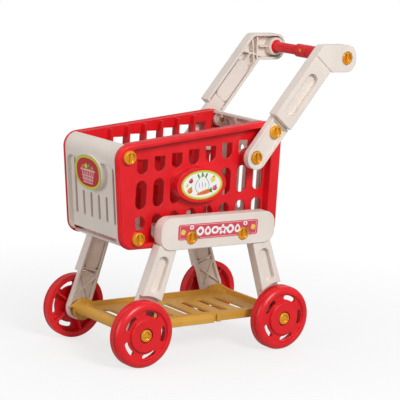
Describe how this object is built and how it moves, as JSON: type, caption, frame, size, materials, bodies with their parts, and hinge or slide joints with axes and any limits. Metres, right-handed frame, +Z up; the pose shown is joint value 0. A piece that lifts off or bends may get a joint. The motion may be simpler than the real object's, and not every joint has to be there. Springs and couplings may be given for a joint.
{
  "type": "toy shopping trolley",
  "caption": "Child's toy shopping trolley: red slotted basket on cream side frames, raked cream handle with a red grip bar, ochre lower tray and free-rolling red wheels.",
  "frame": {"origin": "on the floor, at the middle of the overall footprint; all four wheels stand on Z = 0", "axes": "+Z up; -Y is the front of the basket, +Y is the handle side where the pusher stands; +X is the trolley's left side as pushed"},
  "size_m": [0.1758, 0.3384, 0.3765],
  "materials": {
    "red_plastic": "moulded satin-gloss toy plastic",
    "cream_plastic": "moulded satin toy plastic, warm off-white",
    "ochre_plastic": "moulded satin toy plastic, mustard",
    "gold_plastic": "glossy golden yellow thumb screws",
    "washer_plastic": "plain spacer washers",
    "printed_label": null
  },
  "bodies": {
    "cart": {"side_panel_left": "red_plastic", "side_panel_right": "red_plastic", "front_panel": "cream_plastic", "back_panel": "cream_plastic", "basket_floor": "cream_plastic", "side_frame_left": "cream_plastic", "side_frame_right": "cream_plastic", "lower_tray": "ochre_plastic", "arm_link_left": "cream_plastic", "arm_link_right": "cream_plastic", "arm_left": "cream_plastic", "arm_right": "cream_plastic", "grip_tube": "red_plastic", "grip_sleeve": "red_plastic", "grip_pin": "gold_plastic", "corner_screws": "gold_plastic", "frame_screws": "gold_plastic", "arm_screws": "gold_plastic", "grip_screws": "gold_plastic", "wheel_bolts": "gold_plastic", "wheel_washers": "washer_plastic", "front_sticker": "printed_label", "side_sticker_left": "printed_label", "side_sticker_right": "printed_label", "frame_sticker_left": "printed_label", "frame_sticker_right": "printed_label"},
    "wheel_fl": {"wheel_front_left": "red_plastic"},
    "wheel_fr": {"wheel_front_right": "red_plastic"},
    "wheel_rl": {"wheel_rear_left": "red_plastic"},
    "wheel_rr": {"wheel_rear_right": "red_plastic"}
  },
  "joints": [
    {"name": "roll_front_left", "type": "hinge", "parent": "cart", "child": "wheel_fl", "pos_m": [0.078, -0.12925, 0.04], "axis": [1, 0, 0], "continuous": true},
    {"name": "roll_front_right", "type": "hinge", "parent": "cart", "child": "wheel_fr", "pos_m": [-0.078, -0.12925, 0.04], "axis": [1, 0, 0], "continuous": true},
    {"name": "roll_rear_left", "type": "hinge", "parent": "cart", "child": "wheel_rl", "pos_m": [0.078, 0.07575, 0.04], "axis": [1, 0, 0], "continuous": true},
    {"name": "roll_rear_right", "type": "hinge", "parent": "cart", "child": "wheel_rr", "pos_m": [-0.078, 0.07575, 0.04], "axis": [1, 0, 0], "continuous": true}
  ]
}
